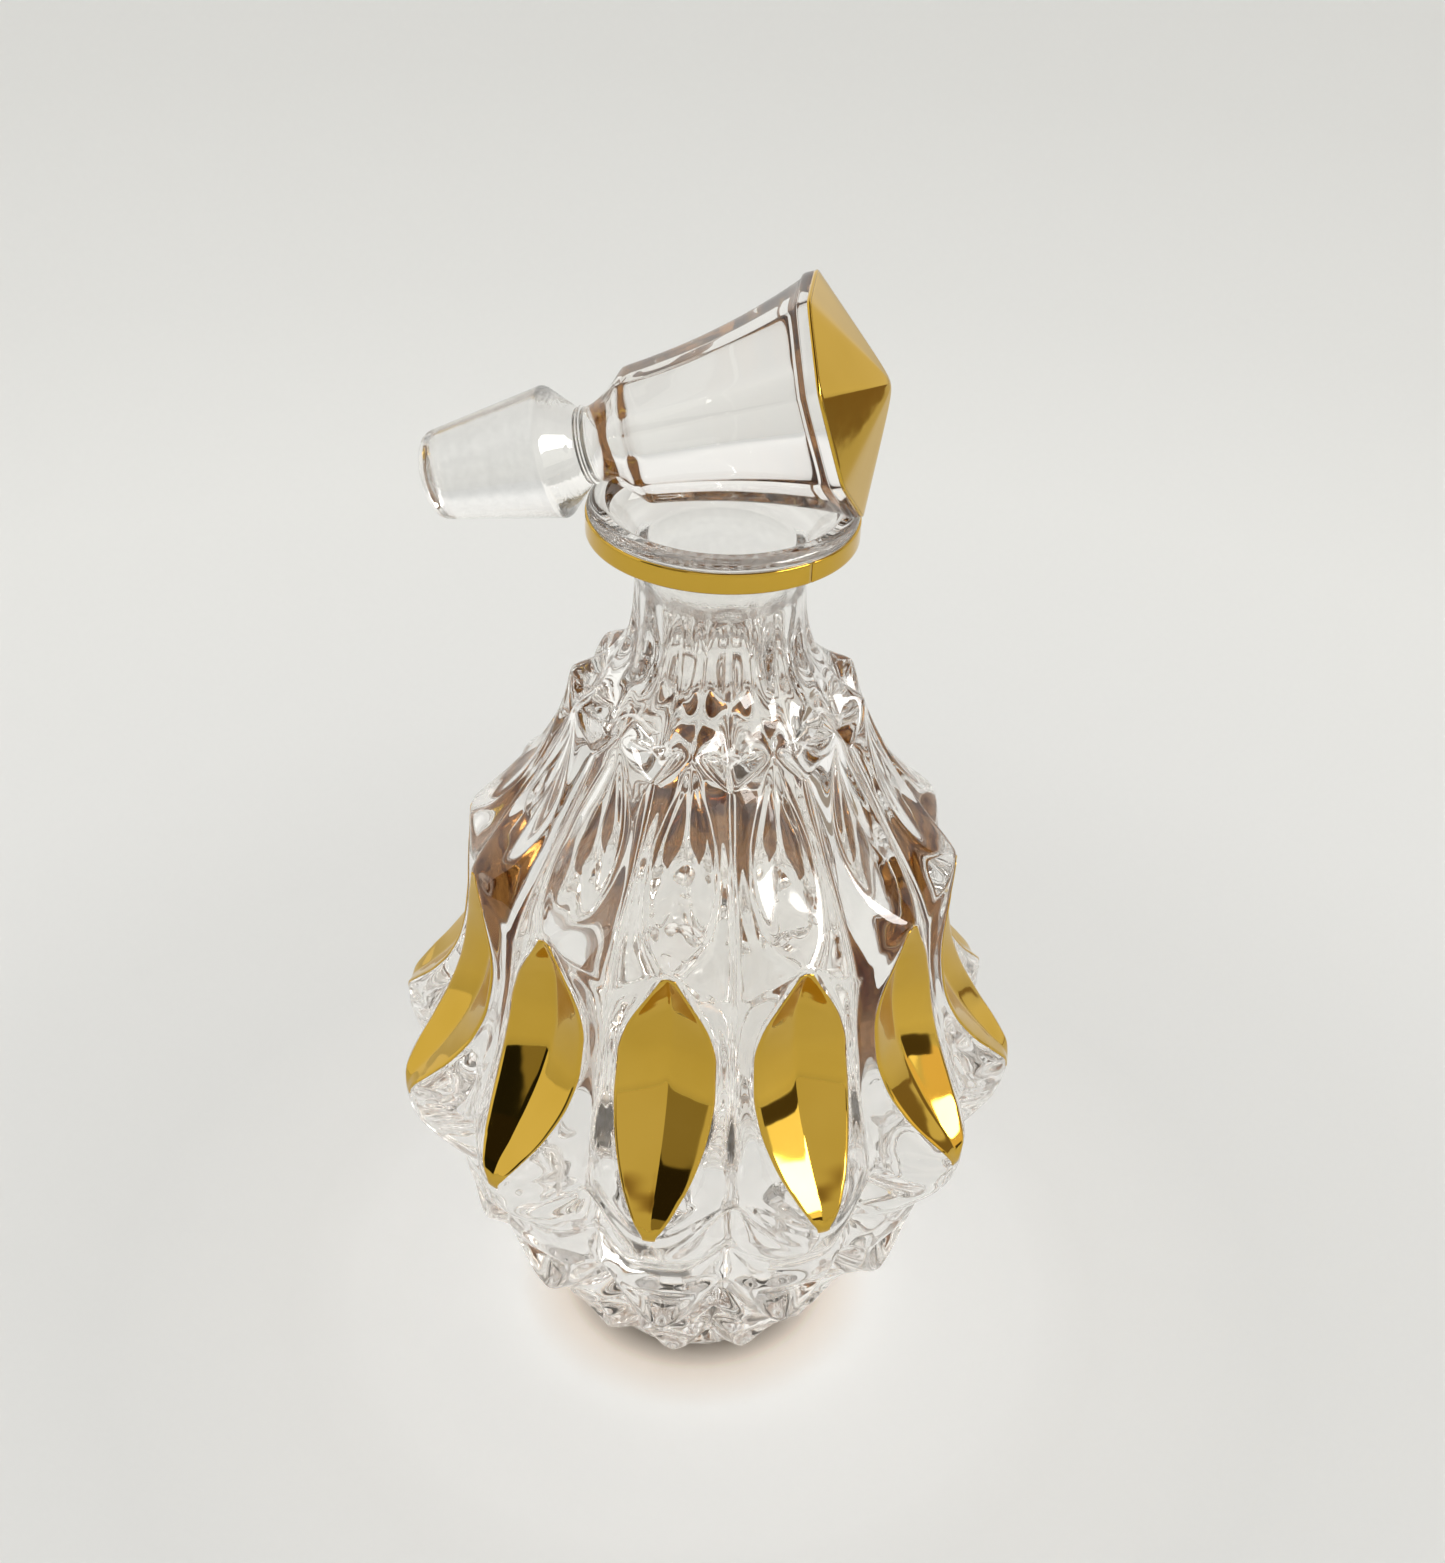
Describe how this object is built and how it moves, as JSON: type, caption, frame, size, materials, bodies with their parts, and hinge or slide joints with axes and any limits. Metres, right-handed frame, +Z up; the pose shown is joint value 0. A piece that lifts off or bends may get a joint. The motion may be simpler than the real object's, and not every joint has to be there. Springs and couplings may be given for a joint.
{
  "type": "perfume bottle",
  "caption": "Faceted clear glass perfume bottle with gilt leaf-shaped petals, a gilt-banded lip and a loose ground-glass stopper with a gilt pyramid top.",
  "frame": {"origin": "centre of the foot, on the surface that the bottle stands on", "axes": "+Z up through the mouth, -Y towards the front petal, +X towards the head of the lying stopper"},
  "size_m": [0.099, 0.099, 0.1806],
  "materials": {
    "clear_glass": "fire-polished clear lead glass, with a frosted ground socket in the neck",
    "gold_film": "mirror-polished gold film on glass, reddish brown where its back shows through the glass",
    "stopper_clear_glass": "polished clear lead glass, with a frosted ground plug",
    "stopper_gold_film": "mirror-polished gold film on glass"
  },
  "bodies": {
    "bottle": {"bottle_body": "clear_glass", "lip_band": "gold_film", "petal_01": "gold_film", "petal_02": "gold_film", "petal_03": "gold_film", "petal_04": "gold_film", "petal_05": "gold_film", "petal_06": "gold_film", "petal_07": "gold_film", "petal_08": "gold_film", "petal_09": "gold_film", "petal_10": "gold_film", "petal_11": "gold_film", "petal_12": "gold_film"},
    "stopper": {"stopper_glass": "stopper_clear_glass", "stopper_cap": "stopper_gold_film"}
  },
  "joints": [
    {"name": "stopper_lift", "type": "slide", "parent": "bottle", "child": "stopper", "axis": [0, 0, 1], "range_m": [0, 0.06]}
  ]
}
